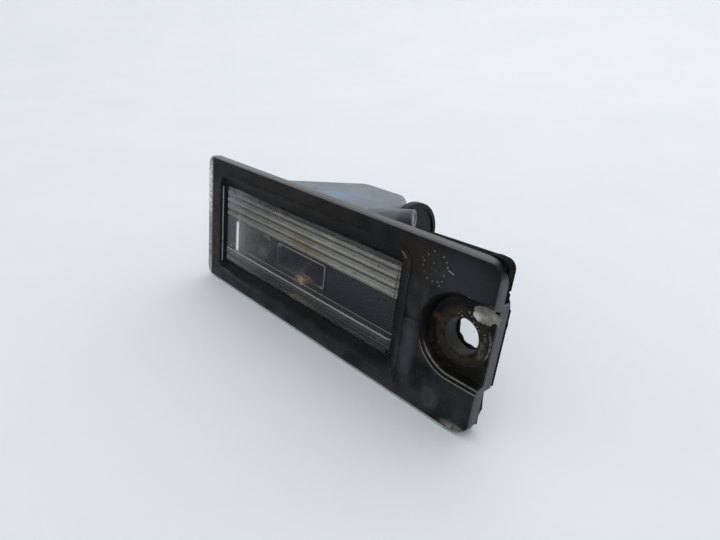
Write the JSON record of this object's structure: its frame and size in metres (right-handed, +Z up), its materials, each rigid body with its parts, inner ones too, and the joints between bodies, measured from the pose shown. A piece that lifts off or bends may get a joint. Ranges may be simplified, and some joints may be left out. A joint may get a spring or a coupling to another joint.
{
  "type": "number plate lamp",
  "caption": "Rectangular number plate lamp: black bezel with a ribbed clear lens and one screw pocket, grey body behind with a twist-in wedge bulb holder.",
  "frame": {"origin": "centre of the screw hole, on the rear face of the pocket floor that the gasket seats on", "axes": "+X along the length of the bezel towards the screw end, +Y back into the car, +Z up; the lens faces -Y"},
  "size_m": [0.0937, 0.0367, 0.035],
  "materials": {
    "bezel_plastic": "moulded black plastic, dusty and worn",
    "lens_plastic": "clear moulded plastic, ribbed and dirty",
    "seal_rubber": "black rubber",
    "body_plastic": "blue grey moulded plastic, smooth",
    "reflector_plastic": "silvered plastic, dulled",
    "shield_metal": "plain sheet",
    "membrane_felt": "pale felt-like sheet",
    "gasket_rubber": "black foam rubber, torn",
    "holder_plastic": "black glass-filled plastic",
    "contact_brass": "stamped strip",
    "bulb_glass": "clear",
    "wire_metal": "drawn wire"
  },
  "bodies": {
    "root": {"bezel": "bezel_plastic", "lens": "lens_plastic", "lens_seal": "seal_rubber", "body_seal": "seal_rubber", "lamp_body": "body_plastic", "reflector": "reflector_plastic", "heat_shield": "shield_metal", "vent_membrane": "membrane_felt", "panel_gasket": "gasket_rubber", "bulb_holder": "holder_plastic", "holder_seal": "seal_rubber", "contact_front": "contact_brass", "contact_rear": "contact_brass", "bulb_glass": "bulb_glass", "lead_wire_front": "wire_metal", "lead_wire_rear": "wire_metal", "filament": "wire_metal"}
  },
  "joints": []
}
